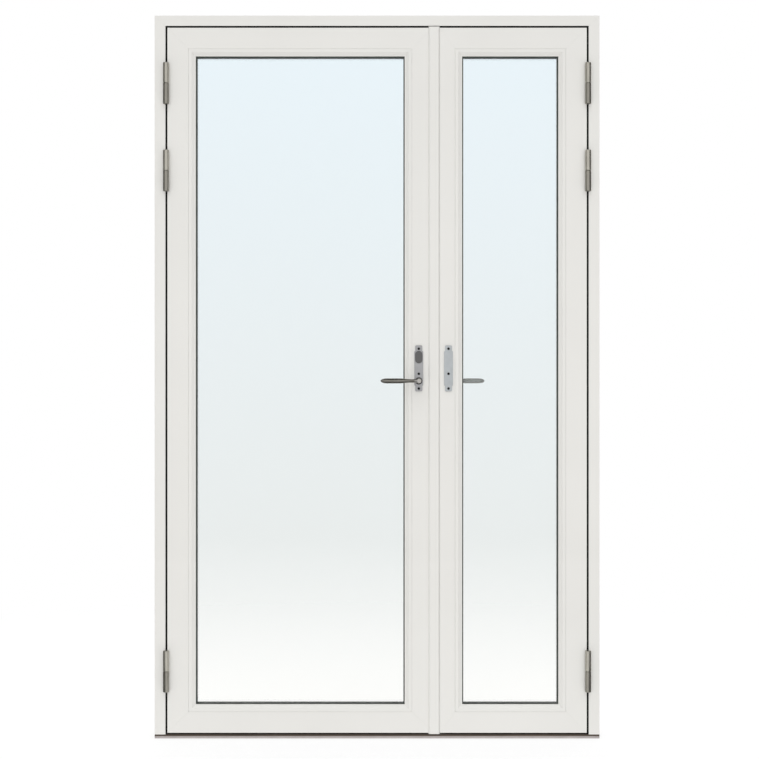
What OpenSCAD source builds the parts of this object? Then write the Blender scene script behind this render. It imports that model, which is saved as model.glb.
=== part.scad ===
// Pair of glazed french doors in their frame: a wide active leaf and a narrow passive leaf.
// Both leaves open outward. X runs to the right seen from outside, Y runs inward, Z is up.
// The origin is the middle of the threshold's underside.

/* [Frame] */
// Overall width of the frame
frame_w = 1280; // [1050:1:1800]
// Overall height of the frame
frame_h = 2080; // [1730:1:2500]
// Depth of the frame, from the outside face to the inside face
frame_d = 115; // [100:1:140]
// Width of a jamb's face seen from outside
frame_face = 31; // [25:0.5:45]
// Height of the head's face seen from outside
head_face = 29.4; // [25:0.1:45]
// Gap between a leaf's edge and the frame
frame_gap = 5.6; // [4:0.1:7]
// How far the frame's stop overlaps the leaf from behind
stop_overlap = 12; // [10:0.5:16]
// Room for the seal between a leaf's back and the stop
seal_gap = 4.5; // [4:0.1:6]
// Clearance between the front lip seal and a leaf's edge
lip_clear = 0.5; // [0.3:0.1:1]

/* [Threshold] */
// Height of the metal base profile
base_h = 6.5; // [5:0.1:10]
// Thickness of the hardwood board in front of its upstand
board_h = 4.7; // [4:0.1:12]
// Gap between a leaf's underside and the board
sill_gap = 4.8; // [4:0.1:8]

/* [Leaves] */
// Width of the passive leaf
passive_w = 423.4; // [350:0.1:560]
// Gap between the two leaves behind the meeting strip
meeting_gap = 4; // [3:0.1:6]
// Thickness of a leaf
leaf_t = 64; // [53:0.5:80]
// Width of a leaf's border, from its edge to the glass opening
sight_w = 81; // [67:0.5:110]
// Width of the passive leaf's border at the meeting edge
meeting_w = 65; // [60:0.5:90]
// Width of timber beyond the cladding at the active leaf's meeting edge
post_w = 15.5; // [12:0.5:24]

/* [Cladding] */
// Wall thickness of the aluminium profiles
clad_wall = 2; // [1.5:0.1:2.5]
// Depth of the aluminium profiles in front of the timber
clad_depth = 12; // [10:0.5:16]
// Width of the glazing bead
bead_w = 20.5; // [17:0.5:26]
// Width of the bead's flat lip beside the glass
lip_w = 3; // [2.5:0.1:4]
// Width of the bead's slope
slope_w = 8.5; // [6:0.1:10]
// Depth of the bead's slope
slope_drop = 5.5; // [3:0.1:6]
// Open joint between the cladding and the bead
bead_joint = 0.25; // [0.1:0.05:1]
// Chamfer on the aluminium edges
clad_edge = 0.4; // [0.3:0.1:1]
// Hairline joint at the mitres
mitre_joint = 0.1; // [0.05:0.05:0.3]

/* [Glazing] */
// Thickness of one pane
pane_t = 4; // [3:0.5:6]
// Space between the two panes
cavity_t = 16; // [12:1:18]
// How far the glass reaches under the bead
glass_cover = 14; // [11:0.5:17]
// Free room between the glass edge and the timber
glass_clear = 4; // [3:0.5:6]
// How far the outer pane lies behind the timber's front
glass_in = 3.5; // [3:0.1:5]
// Thickness of the outer gasket
gasket_t = 4; // [3.5:0.1:5]
// How far the outer gasket shows past the bead
gasket_show = 3.5; // [1:0.1:4.5]
// How far the spacer lies behind the gasket's edge
spacer_back = 0.3; // [0:0.1:2]
// Thickness of the inner gasket
tape_t = 3; // [2:0.1:4]

/* [Hinges] */
// Radius of a hinge knuckle
knuckle_r = 8.5; // [7:0.1:10]
// Height of a hinge
hinge_h = 119; // [90:1:140]
// Radius of a hinge pin
hinge_pin_r = 5; // [4:0.1:6]
// Radial running clearance of a hinge pin
pin_clear = 0.05; // [0.03:0.01:0.1]
// Depth of a hinge flag in the gap
flag_d = 38; // [30:1:44]
// Middle of the top hinge below the leaf's top
hinge_top = 161; // [120:1:220]
// Middle of the second hinge below the leaf's top
hinge_second = 412; // [360:1:520]
// Middle of the bottom hinge above the leaf's bottom
hinge_bottom = 178.5; // [140:0.5:260]

/* [Meeting strip] */
// Width of the strip
strip_w = 31.4; // [26:0.1:36]
// Height of the strip above the cladding
strip_t = 5; // [3:0.1:8]
// Width of the strip's bevels
strip_bevel = 4; // [2:0.1:6]
// Clearance between the strip and the passive leaf
strip_clear = 0.4; // [0.3:0.1:0.8]
// How far the strip runs past the leaf at top and bottom
strip_over = 2.5; // [1:0.1:3.5]

/* [Handles] */
// Height of the lever axes above the frame's underside
lever_z = 1028.8; // [900:0.1:1150]
// Lever axis of the passive leaf, from its meeting edge
passive_backset = 25.5; // [25:0.1:32]
// Thickness of the handle plates
plate_t = 3; // [2:0.1:5]
// Width of a plate's middle
plate_w = 25; // [23:0.5:30]
// Width of a plate's ends
plate_end_w = 20; // [14:0.5:22]
// Height of a plate's narrow ends
plate_end_h = 16; // [12:0.5:20]
// Plate above the lever axis
plate_up = 102; // [95:0.5:115]
// Plate below the lever axis
plate_down = 30; // [27:0.5:36]
// Length of a lever from its axis
lever_l = 110; // [95:1:130]
// Distance from the leaf's face to the middle of the lever's grip
lever_reach = 44.5; // [38:0.5:48]
// Radius of the lever's grip
grip_r = 7.4; // [6:0.1:9]
// Radius of the lever's neck beside the hub
neck_r = 5; // [4:0.1:6]
// Radius of the lever's hub
hub_r = 7.6; // [7:0.1:9]
// Width of the square spindle
spindle_w = 8; // [7:0.1:9]
// Width of the oval cylinder plug
plug_w = 20.6; // [18:0.1:21]
// Height of the oval cylinder plug
plug_h = 36; // [32:0.1:40]
// Middle of the plug above the lever axis
plug_up = 68.4; // [60:0.1:72]

/* [Lock] */
// Travel of the active leaf's bolts
bolt_throw = 18; // [14:0.5:20]
// Thickness of a bolt
bolt_t = 7; // [6:0.5:8]
// Height of a bolt
bolt_h = 22; // [18:0.5:26]
// Length of a bolt
bolt_l = 40; // [38:0.5:44]
// Upper and lower bolts from the lever axis
bolt_reach = 560; // [450:1:640]
// Middle bolt below the lever axis
bolt_drop = 42; // [40:1:48]
// Thickness of the edge plates
edge_plate_t = 2.5; // [2:0.1:3]
// Width of the edge plates
edge_plate_w = 20; // [18:0.5:24]
// Thickness of the lock cases
case_t = 18; // [17:0.5:20]
// Radius of the passive leaf's bolt rods
rod_r = 4; // [3.5:0.1:5]
// Travel of the two rods
rod_throw = 12.5; // [12:0.1:13.5]
// Clearance around sliding pieces
slide_clear = 0.3; // [0.2:0.05:0.5]

/* [Fixing] */
// Radius of the frame's fixing holes
fix_r = 7; // [5:0.5:9]
// Outermost fixing holes from the frame's middle height
fix_outer = 715; // [560:1:800]
// Inner fixing holes from the frame's middle height
fix_inner = 250; // [150:1:400]

/* [Hidden] */
$fn = 64;

// Colours of the finishes
white_paint = [0.91, 0.91, 0.89];
white_metal = [0.92, 0.92, 0.90];
hardwood = [0.24, 0.17, 0.12];
mill_metal = [0.66, 0.65, 0.63];
nickel = [0.62, 0.60, 0.55];
dark_rubber = [0.10, 0.10, 0.10];
dark_grey = [0.30, 0.30, 0.30];
pale_glass = [0.86, 0.93, 0.96, 0.35];

// Depth places of the frame and the leaves
y_out = -frame_d / 2;
y_in = frame_d / 2;
y_wood = y_out + clad_depth;
y_back = y_out + leaf_t;
y_stop = y_back + seal_gap;
y_lock = (y_wood + y_back) / 2;

// Width places of the frame and the leaves
x_frame = frame_w / 2;
x_reveal = x_frame - frame_face;
x_leaf = x_reveal - frame_gap;
x_stop = x_leaf - stop_overlap;
x_passive = x_leaf - passive_w;
x_active = x_passive - meeting_gap;
x_clad = x_active - post_w;

// Height places of the frame and the leaves
z_board = base_h + board_h;
z_low = z_board + sill_gap;
z_reveal = frame_h - head_face;
z_high = z_reveal - frame_gap;
z_stop_low = z_low + stop_overlap;
z_stop_high = z_high - stop_overlap;

// Hinge axes, in front of the faces so that a leaf can turn right back
hinge_front = 0.5;
x_hinge = x_leaf + frame_gap / 2;
y_hinge = y_out - knuckle_r - hinge_front;
hinge_places = [z_high - hinge_top, z_high - hinge_second, z_low + hinge_bottom];

// Timber edge of the passive leaf, set back so that its rear corner swings clear of the meeting strip
swing_margin = 0.9;
swing_r = x_hinge - x_passive + strip_clear - swing_margin;
x_keep = x_hinge - sqrt(pow(swing_r, 2) - pow(y_back - y_hinge, 2));

// Glass openings as left, right, bottom and top
active_sight = [-x_leaf + sight_w, x_clad - sight_w, z_low + sight_w, z_high - sight_w];
passive_sight = [x_passive + meeting_w, x_leaf - sight_w, z_low + sight_w, z_high - sight_w];

// Outer edges of the two cladding rings as left, right, bottom and top
active_ring = [-x_leaf, x_clad, z_low, z_high];
passive_ring = [x_passive, x_leaf, z_low, z_high];
active_border = [sight_w, sight_w, sight_w, sight_w];
passive_border = [meeting_w, sight_w, sight_w, sight_w];

// Depth places of the glazing
y_glass = y_wood + glass_in;
y_inner_pane = y_glass + pane_t + cavity_t;
y_glass_back = y_inner_pane + pane_t;
y_nib = y_glass_back + tape_t;
rebate_w = glass_cover + glass_clear;
nib_back = 5;
nib_chamfer = 8;
gasket_w = 10;
tape_w = 5;
tape_in = 2;
spacer_show = gasket_show - spacer_back;
block_l = 60;

// Hinge flags fill the gap between leaf and frame
flag_clear = 0.6;
knuckle_gap = 0.6;
knuckle_edge = 0.8;
flag_screw_places = [-40, 0, 40];
flag_screw_y = y_out + 24;
flag_screw_l = 24;
pin_end = 5;
pin_room = 1;
knuckle_cap = 9;

// Frame seal
seal_x = (x_leaf + x_stop) / 2;
seal_stem_w = 3;
seal_stem_d = 6;
seal_fit = 0.1;
seal_base_t = 1.5;
seal_base_w = 6;
seal_clear = 0.3;
seal_r = seal_gap - seal_base_t - seal_clear;
lip_y = y_out + 2;
lip_base_d = 6;
lip_base_t = 1.2;
lip_t = 2.4;

// Meeting strip and its seal
strip_x1 = x_passive - strip_clear;
strip_x0 = strip_x1 - strip_w;
strip_edge = 2;
strip_leg = 2;
strip_leg_out = 0.5;
strip_seal_r = 2.2;
strip_seal_base = 0.7;
strip_seal_w = 8;

// Handles and their plates
x_lever_a = x_clad - sight_w / 2;
x_lever_p = x_passive + passive_backset;
screw_places = [plate_up - 9.5, plate_up - 81.5, -plate_down + 8];
screw_r = 2;
screw_head_r = 3.6;
screw_head_t = 2;
screw_sink = 0.2;
recess_l = 4.2;
recess_w = 0.9;
recess_d = 1.2;
screw_out_l = 22;
screw_tip_gap = 2.8;
screw_in_l = y_back + plate_t - screw_sink - (y_lock + case_t / 2 + screw_tip_gap);
screw_fit = 0.05;
hub_fit = 0.15;
hub_in = 3;
hub_front = 5.5;
hub_edge = 1.5;
collar_r = 10.2;
collar_t = 5;
collar_gap = 0.4;
socket_fit = 0.1;
spindle_out = 30;
plug_proud = 1.2;
plug_fit = 0.1;
plate_corner = 3;

// Teeth of the drives: stub involute teeth with a little play
pressure = 20;
tooth_add = 0.8;
tooth_ded = 1.05;
tooth_play = 0.2;
journal_r = (spindle_w / 2 + socket_fit) * sqrt(2) + 0.9;
journal_end = 0.2;
follower_fit = 0.08;
wheel_room = 0.5;
cover_joint = 0.1;

// Lock of the active leaf: the rail lies beside the bolts and drives them with slanted slots
active_teeth = 15;
active_wheel_r = bolt_throw / (PI / 2);
active_tooth = 2 * active_wheel_r / active_teeth;
rail_teeth = ceil(active_teeth / 4) + 1;
bolt_places = [lever_z - bolt_reach, lever_z - bolt_drop, lever_z + bolt_reach];
bolt_x0 = x_active - bolt_l;
bolt_rest = 0.2;
bolt_edge = 1;
pin_r = 2;
pin_in = 5;
slot_web = 4;
rail_t = 3;
rail_y1 = y_lock - bolt_t / 2 - slide_clear;
rail_y0 = rail_y1 - rail_t;
rail_x0 = bolt_x0 + pin_in - pin_r - slot_web;
rail_x1 = bolt_x0 + pin_in + bolt_throw + pin_r + slot_web;
rack_x = x_lever_a + active_wheel_r;
rail_end = 40;
rail_z0 = bolt_places[0] - rail_end;
rail_z1 = bolt_places[2] + rail_end;
edge_z0 = rail_z0 - 10;
edge_z1 = rail_z1 + bolt_throw + 10;
case_x1 = x_active - edge_plate_t;
case_back = 18;
case_skin = 2;
case_x0 = max(x_lever_a - case_back, x_clad - sight_w + rebate_w + case_skin);
case_z0 = lever_z - 62;
case_z1 = lever_z + 108;
spindle_hole_r = 10;

// Lock of the passive leaf: one wheel between two racks drives the rods apart
passive_teeth = 16;
passive_wheel_r = rod_throw / (PI / 2);
passive_tooth = 2 * passive_wheel_r / passive_teeth;
rod_teeth = ceil(passive_teeth / 4) + 1;
keep_clear = 1;
keep_room = 1.7;
keep_depth = x_active + bolt_throw + keep_room;
gear_x0 = x_keep + edge_plate_t;
gear_x1 = x_passive + meeting_w - rebate_w - 3;
gear_z0 = lever_z - bolt_drop + bolt_h / 2 + keep_clear + 1.5;
gear_skin = 3.5;
gear_z1 = lever_z + 44;
rod_x = gear_x1 - rod_r - 4;
rod_rest = 1;
rod_edge = 1;
rack_t = 4;
rack_x0 = gear_x0 + gear_skin;
rack_x1 = gear_x1 - gear_skin;
yoke_z0 = lever_z + 20;
yoke_z1 = lever_z + 27;
foot_drop = 12;
foot_in = 5;
strike_r = rod_r + 0.8;
strike_t = 1.5;
strike_w = 18;
strike_l = 50;
strike_room = 4;
floor_room = 1.5;
strike_floor = z_low + rod_rest - rod_throw - floor_room;

// Fixing holes through the jambs, behind the hinge flags
fix_y = y_back - 14.5;
fix_places = [-fix_outer, -fix_inner, fix_inner, fix_outer];

// Long enough to cut right through
through = 2 * frame_d;

// Box between two corners
module block(low, high) {
  translate(low) cube(high - low);
}

// Round bar along Y from y0 to y1
module bar_y(x, z, y0, y1, r) {
  translate([x, y0, z]) rotate([-90, 0, 0]) cylinder(r = r, h = y1 - y0);
}

// Round bar along X from x0 to x1
module bar_x(y, z, x0, x1, r) {
  translate([x0, y, z]) rotate([0, 90, 0]) cylinder(r = r, h = x1 - x0);
}

// Profile extruded along X from x0 to x1, with its points given as Y and Z
module along_x(x0, x1, points) {
  translate([x1, 0, 0]) rotate([0, -90, 0]) linear_extrude(x1 - x0)
    polygon([for (p = points) [p[1], p[0]]]);
}

// Prism through the whole depth over an outline in X and Z
module through_y(points) {
  translate([0, through, 0]) rotate([90, 0, 0]) linear_extrude(2 * through) polygon(points);
}

// Outline in X and Z given a depth, from y0 to y1
module plate_y(y0, y1) {
  translate([0, y1, 0]) rotate([90, 0, 0]) linear_extrude(y1 - y0) children();
}

// Rectangular ring around an opening, w wide outward, between two depths
module ring_around(opening, w, y0, y1) {
  difference() {
    block([opening[0] - w, y0, opening[2] - w], [opening[1] + w, y1, opening[3] + w]);
    block([opening[0], y0 - 1, opening[2]], [opening[1], y1 + 1, opening[3]]);
  }
}

// Opening made larger by d on each side
function grown(o, d) = [o[0] - d, o[1] + d, o[2] - d, o[3] + d];

// One side of a ring, uncut: points are u from the outer edge and v behind the outside face
module side_bar(side, ring, points) {
  turned = [for (p = points) [-p[0], p[1]]];
  if (side == "left")
    translate([ring[0], y_out, ring[2]]) linear_extrude(ring[3] - ring[2]) polygon(points);
  if (side == "right")
    translate([ring[1], y_out, ring[2]]) linear_extrude(ring[3] - ring[2]) polygon(turned);
  if (side == "bottom")
    translate([ring[1], y_out, ring[2]]) rotate([0, -90, 0])
      linear_extrude(ring[1] - ring[0]) polygon(points);
  if (side == "top")
    translate([ring[1], y_out, ring[3]]) rotate([0, -90, 0])
      linear_extrude(ring[1] - ring[0]) polygon(turned);
}

// Mitre outline of a side between two corners: a and b run along it, from p to q across it
function across(a, b, a_in, b_in, p, q) = [[p, a], [q, a + a_in], [q, b - b_in], [p, b]];

// Mitre outline of one side of a ring, in X and Z, with upright sides cut short by the hairline joint
function mitre(side, r, b) =
  let (low = r[2] + mitre_joint, high = r[3] - mitre_joint)
  side == "left" ? across(low, high, b[2], b[3], r[0], r[0] + b[0]) :
  side == "right" ? across(low, high, b[2], b[3], r[1], r[1] - b[1]) :
  let (p = side == "bottom" ? r[2] : r[3], q = side == "bottom" ? r[2] + b[2] : r[3] - b[3])
  [for (c = across(r[0], r[1], b[0], b[1], p, q)) [c[1], c[0]]];

// One mitred side of a ring of profiles
module mitred_bar(side, ring, border, points) {
  intersection() {
    side_bar(side, ring, points);
    through_y(mitre(side, ring, border));
  }
}

// Border width on one side
function side_of(side, b) =
  side == "left" ? b[0] : side == "right" ? b[1] : side == "bottom" ? b[2] : b[3];

// Channel of aluminium, w wide, open towards the timber
function channel(w) = [
  [0, clad_edge], [clad_edge, 0], [w - clad_edge, 0], [w, clad_edge], [w, clad_depth],
  [w - clad_wall, clad_depth], [w - clad_wall, clad_wall], [clad_wall, clad_wall],
  [clad_wall, clad_depth], [0, clad_depth]
];

// Glazing bead: flat, slope and lip, with a leg on the timber and a leg on the gasket
gasket_v = clad_depth + glass_in - gasket_t;
bead_slope = bead_w - lip_w - slope_w;
bead_leg = bead_joint / 2;
bead_points = [
  [bead_leg, clad_edge], [bead_leg + clad_edge, 0], [bead_slope, 0], [bead_w - lip_w, slope_drop],
  [bead_w, slope_drop], [bead_w, gasket_v], [bead_w - clad_wall, gasket_v],
  [bead_w - clad_wall, slope_drop + clad_wall], [bead_w - lip_w - clad_wall / 2, slope_drop + clad_wall],
  [bead_slope - clad_wall / 2, clad_wall], [bead_leg + clad_wall, clad_wall],
  [bead_leg + clad_wall, clad_depth], [bead_leg, clad_depth]
];

// Timber of a leaf's border, w wide to the sight line, from u0 beyond the cladding's edge
function timber(w, u0) = [
  [u0, clad_depth], [w - rebate_w, clad_depth], [w - rebate_w, y_nib - y_out],
  [w - nib_back, y_nib - y_out], [w - nib_back, leaf_t - nib_chamfer],
  [w - nib_back - nib_chamfer, leaf_t], [u0, leaf_t]
];

// Cladding of a leaf on the named sides
module leaf_cladding(ring, border, sides) {
  inner = [for (b = border) b - bead_w];
  for (side = sides)
    mitred_bar(side, ring, inner, channel(side_of(side, inner) - bead_joint / 2));
}

// Four glazing beads around a glass opening
module glazing_beads(sight) {
  ring = grown(sight, bead_w);
  for (side = ["left", "right", "bottom", "top"])
    mitred_bar(side, ring, [bead_w, bead_w, bead_w, bead_w], bead_points);
}

// Two panes of an insulating unit
module panes(sight) {
  edge = grown(sight, glass_cover);
  for (y = [y_glass, y_inner_pane])
    block([edge[0], y, edge[2]], [edge[1], y + pane_t, edge[3]]);
}

// Spacer and edge seal between the panes
module spacer(sight) {
  ring_around(grown(sight, -spacer_show), glass_cover + spacer_show, y_glass + pane_t, y_inner_pane);
}

// Outer gasket under the bead and inner gasket on the timber
module gaskets(sight) {
  ring_around(grown(sight, -gasket_show), gasket_w, y_glass - gasket_t, y_glass);
  ring_around(grown(sight, nib_back + tape_in), tape_w, y_glass_back, y_nib);
}

// Blocks that carry the glass unit at its quarter points
module setting_blocks(sight) {
  for (share = [0.25, 0.75]) {
    x = sight[0] + share * (sight[1] - sight[0]);
    z = sight[2] - rebate_w;
    block([x - block_l / 2, y_glass, z], [x + block_l / 2, y_glass_back, z + glass_clear]);
  }
}

// Rail between two stiles, scribed over their profiles
module rail(side, ring, border) {
  over = grown(ring, 1);
  difference() {
    side_bar(side, ring, timber(side_of(side, border), 0));
    side_bar("left", over, timber(border[0] + 1, 0));
    side_bar("right", over, timber(border[1] + 1, 0));
  }
}

// Outline of a handle plate about its lever axis, in X and Z
module plate_outline() {
  shoulder_low = -plate_down + plate_end_h;
  shoulder_high = plate_up - plate_end_h;
  rounded(plate_w, shoulder_low, shoulder_high);
  rounded(plate_end_w, -plate_down, plate_up);
}

// Upright rectangle w wide with rounded corners
module rounded(w, z0, z1) {
  half = w / 2 - plate_corner;
  translate([-half, z0]) square([2 * half, z1 - z0]);
  translate([-w / 2, z0 + plate_corner]) square([w, z1 - z0 - 2 * plate_corner]);
  for (x = [-half, half], z = [z0 + plate_corner, z1 - plate_corner])
    translate([x, z]) circle(r = plate_corner);
}

// Oval of the cylinder plug, made larger by extra
module plug_outline(extra) {
  r = plug_w / 2 + extra;
  straight = plug_h / 2 - plug_w / 2;
  translate([-r, -straight]) square([2 * r, 2 * straight]);
  for (z = [-straight, straight])
    translate([0, z]) circle(r = r);
}

// Turns a piece made for the outside face at y = 0 onto a face of a leaf at x, facing out or in
module on_face(x, inside) {
  translate([x, inside ? y_back : y_out, lever_z]) mirror([0, inside ? 1 : 0, 0]) children();
}

// Handle plate with its screw holes, made for the outside face at y = 0
module handle_plate(lever_hole, plug_hole) {
  difference() {
    rotate([90, 0, 0]) linear_extrude(plate_t) plate_outline();
    if (lever_hole)
      bar_y(0, 0, -plate_t - 1, 1, hub_r + hub_fit);
    if (plug_hole)
      translate([0, 1, plug_up]) rotate([90, 0, 0]) linear_extrude(plate_t + 2) plug_outline(plug_fit);
    for (z = screw_places) {
      bar_y(0, z, -plate_t - 1, 1, screw_r + screw_fit);
      translate([0, -plate_t - screw_fit, z]) rotate([-90, 0, 0])
        cylinder(r1 = screw_head_r + screw_sink + 2 * screw_fit, r2 = screw_r + screw_fit,
                 h = screw_head_t + screw_sink);
    }
  }
}

// Countersunk screw with a cross recess, its head at z = 0 and its tip at z = length
module screw(length) {
  half = [recess_l / 2, recess_w / 2];
  difference() {
    union() {
      cylinder(r1 = screw_head_r, r2 = screw_r, h = screw_head_t);
      cylinder(r = screw_r, h = length);
    }
    block([-half[0], -half[1], -1], [half[0], half[1], recess_d]);
    block([-half[1], -half[0], -1], [half[1], half[0], recess_d]);
  }
}

// Screws of one plate, made for the outside face at y = 0
module plate_screws(length) {
  for (z = screw_places)
    translate([0, screw_sink - plate_t, z]) rotate([-90, 0, 0]) screw(length);
}

// Holes for those screws in what lies behind the plate
module screw_holes(length) {
  for (z = screw_places)
    bar_y(0, z, -1, screw_sink - plate_t + length + screw_fit, screw_r + screw_fit);
}

// Radius of the lever's arm at a distance from its axis
arm_swell0 = 26;
arm_swell1 = 58;
arm_nose = 18;
arm_step = 4;
function smooth(s) = let (c = max(0, min(1, s))) c * c * (3 - 2 * c);
function arm_r(t) = neck_r + (grip_r - neck_r) * smooth((t - arm_swell0) / (arm_swell1 - arm_swell0));

// Turned lever with its hub and square socket, pointing to -X, made for the outside face at y = 0
module lever() {
  straight = lever_l - arm_nose;
  hub_end = -lever_reach - hub_front;
  outline = concat(
    [[0, 0]],
    [for (t = [0 : arm_step : straight]) [arm_r(t), t]],
    [for (a = [15 : 15 : 75]) [grip_r * cos(a), straight + arm_nose * sin(a)]],
    [[0, lever_l]]
  );
  difference() {
    union() {
      bar_y(0, 0, hub_end + hub_edge, hub_in, hub_r);
      translate([0, hub_end, 0]) rotate([-90, 0, 0]) cylinder(r1 = hub_r - hub_edge, r2 = hub_r, h = hub_edge);
      bar_y(0, 0, -plate_t - collar_gap - collar_t, -plate_t - collar_gap, collar_r);
      translate([0, -lever_reach, 0]) rotate([0, -90, 0]) rotate_extrude() polygon(outline);
    }
    socket = spindle_w / 2 + socket_fit;
    block([-socket, -spindle_out - 0.5, -socket], [socket, hub_in + 1, socket]);
  }
}

// Square spindle on an axis
module spindle(x, y0, y1) {
  half = spindle_w / 2;
  block([x - half, y0, lever_z - half], [x + half, y1, lever_z + half]);
}

// Involute angle at a radius, from the base circle of radius base
function involute(rho, base) = rho <= base ? 0 : sqrt(pow(rho / base, 2) - 1) * 180 / PI - acos(base / rho);

// Half the angle of a wheel's tooth at a radius
function tooth_half(rho, r, teeth) =
  let (base = r * cos(pressure))
  90 / teeth - 90 * tooth_play / (PI * r) + involute(r, base) - involute(rho, base);

// Toothed wheel about its axis at x, with a space towards +X at rest
module wheel_outline(x, r, teeth) {
  size = 2 * r / teeth;
  base = r * cos(pressure);
  tip = r + tooth_add * size;
  radii = [r - tooth_ded * size, base, (2 * base + tip) / 3, (base + 2 * tip) / 3, tip];
  last = len(radii) - 1;
  translate([x, lever_z]) polygon([
    for (k = [0 : teeth - 1], i = [0 : 2 * last + 1])
      let (up = i <= last, rho = radii[up ? i : 2 * last + 1 - i],
           a = (k + 0.5) * 360 / teeth + (up ? -1 : 1) * tooth_half(rho, r, teeth))
      [rho * cos(a), rho * sin(a)]
  ]);
}

// Points of a rack, upwards: pitch line at x, teeth towards side, back at x_back, from tooth k0 to tooth k1
function rack_points(x, side, x_back, size, k0, k1) =
  let (pitch = PI * size,
       half = (pitch / 2 - tooth_play) / 2,
       tip = x + side * tooth_add * size,
       root = x - side * tooth_ded * size,
       half_tip = half - tooth_add * size * tan(pressure),
       half_root = half + tooth_ded * size * tan(pressure),
       tooth = [[root, -half_root], [tip, -half_tip], [tip, half_tip], [root, half_root]])
  concat(
    [[x_back, lever_z + k0 * pitch - half_root]],
    [for (k = [k0 : k1], q = tooth) [q[0], lever_z + k * pitch + q[1]]],
    [[x_back, lever_z + k1 * pitch + half_root]]
  );

// Follower with a toothed wheel between its journals and a square hole for the spindle
module follower(x, r, teeth, y0, y1) {
  socket = spindle_w / 2 + socket_fit;
  reach = case_t / 2 - journal_end;
  difference() {
    union() {
      bar_y(x, lever_z, y_lock - reach, y_lock + reach, journal_r);
      plate_y(y0, y1) wheel_outline(x, r, teeth);
    }
    block([x - socket, y_lock - case_t, lever_z - socket], [x + socket, y_lock + case_t, lever_z + socket]);
  }
}

// Body and cover of a case that meet at a depth, with a hairline joint
module halved(y) {
  far = 2 * frame_w + frame_h;
  for (half = [[-far, y], [y + cover_joint, far]])
    intersection() {
      children();
      block([-far, half[0], -far], [far, half[1], far]);
    }
}

// Knuckle of a hinge at x, from z0 to z1, with chamfered ends
module knuckle(x, z0, z1) {
  in = knuckle_r - knuckle_edge;
  translate([x, y_hinge, 0]) rotate_extrude()
    polygon([[0, z0], [in, z0], [knuckle_r, z0 + knuckle_edge],
             [knuckle_r, z1 - knuckle_edge], [in, z1], [0, z1]]);
}

// Places the screws of one hinge flag, pointing from the gap into the leaf or the frame
module at_flag_screws(side, z, on_leaf) {
  out = on_leaf ? -side : side;
  for (up = flag_screw_places)
    translate([side * x_hinge + out * (flag_clear / 2 + screw_sink), flag_screw_y, z + up])
      rotate([0, out * 90, 0]) children();
}

// Holes for the hinge screws on one side, in the leaf or in the frame
module flag_screw_holes(side, on_leaf) {
  for (z = hinge_places)
    at_flag_screws(side, z, on_leaf) cylinder(r = screw_r + screw_fit, h = flag_screw_l + screw_fit);
}

// Half of a hinge: flag in the gap and one knuckle, low for the frame and high for the leaf
module hinge_half(side, z, on_leaf) {
  x = side * x_hinge;
  out = on_leaf ? -side : side;
  near = out * flag_clear / 2;
  far = out * frame_gap / 2;
  bottom = z - hinge_h / 2;
  top = z + hinge_h / 2;
  knuckle_z0 = on_leaf ? z + knuckle_gap / 2 : bottom;
  knuckle_z1 = on_leaf ? top : z - knuckle_gap / 2;
  bore_z0 = on_leaf ? knuckle_z0 - 1 : bottom + pin_end - pin_room;
  bore_z1 = on_leaf ? top - knuckle_cap : knuckle_z1 + 1;
  x0 = x + min(near, far);
  x1 = x + max(near, far);
  difference() {
    union() {
      knuckle(x, knuckle_z0, knuckle_z1);
      block([x0, y_hinge + hinge_pin_r + 1.5, knuckle_z0], [x1, y_out + hinge_front, knuckle_z1]);
      block([x0, y_out + hinge_front, bottom], [x1, y_out + flag_d, top]);
    }
    translate([x, y_hinge, bore_z0]) cylinder(r = hinge_pin_r + pin_clear, h = bore_z1 - bore_z0);
    at_flag_screws(side, z, on_leaf) {
      translate([0, 0, -screw_sink - screw_fit])
        cylinder(r1 = screw_head_r + screw_sink + 2 * screw_fit, r2 = screw_r + screw_fit,
                 h = screw_head_t + screw_sink);
      cylinder(r = screw_r + screw_fit, h = flag_screw_l);
    }
  }
  at_flag_screws(side, z, on_leaf) screw(flag_screw_l);
}

// Hinge halves of a leaf
module leaf_hinges(side) {
  for (z = hinge_places)
    hinge_half(side, z, true);
}

// Jamb on one side: rebate for the leaf, stop behind it, seal groove and fixing holes
module frame_jamb(side) {
  groove = seal_stem_w / 2;
  difference() {
    mirror([side < 0 ? 1 : 0, 0, 0]) translate([0, 0, z_board]) linear_extrude(frame_h - z_board)
      polygon([
        [x_frame, y_wood], [x_reveal, y_wood], [x_reveal, y_stop],
        [seal_x + groove, y_stop], [seal_x + groove, y_stop + seal_stem_d],
        [seal_x - groove, y_stop + seal_stem_d], [seal_x - groove, y_stop],
        [x_stop, y_stop], [x_stop, y_in], [x_frame, y_in]
      ]);
    for (z = fix_places)
      bar_x(fix_y, frame_h / 2 + z, min(side * x_reveal, side * x_frame) - 1,
            max(side * x_reveal, side * x_frame) + 1, fix_r);
    flag_screw_holes(side, false);
  }
}

// Seal profile as points across the stop's face and behind it
module seal_profile() {
  stem = seal_stem_w / 2 - seal_fit;
  translate([-stem, -1]) square([2 * stem, seal_stem_d + 1 - seal_fit]);
  seal_bulb();
}

// Bulb of the seal in front of the stop's face
module seal_bulb() {
  translate([-seal_base_w / 2, -seal_base_t]) square([seal_base_w, seal_base_t]);
  intersection() {
    translate([0, -seal_base_t]) circle(r = seal_r);
    translate([-seal_r, -seal_gap]) square([2 * seal_r, seal_gap]);
  }
}

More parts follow.
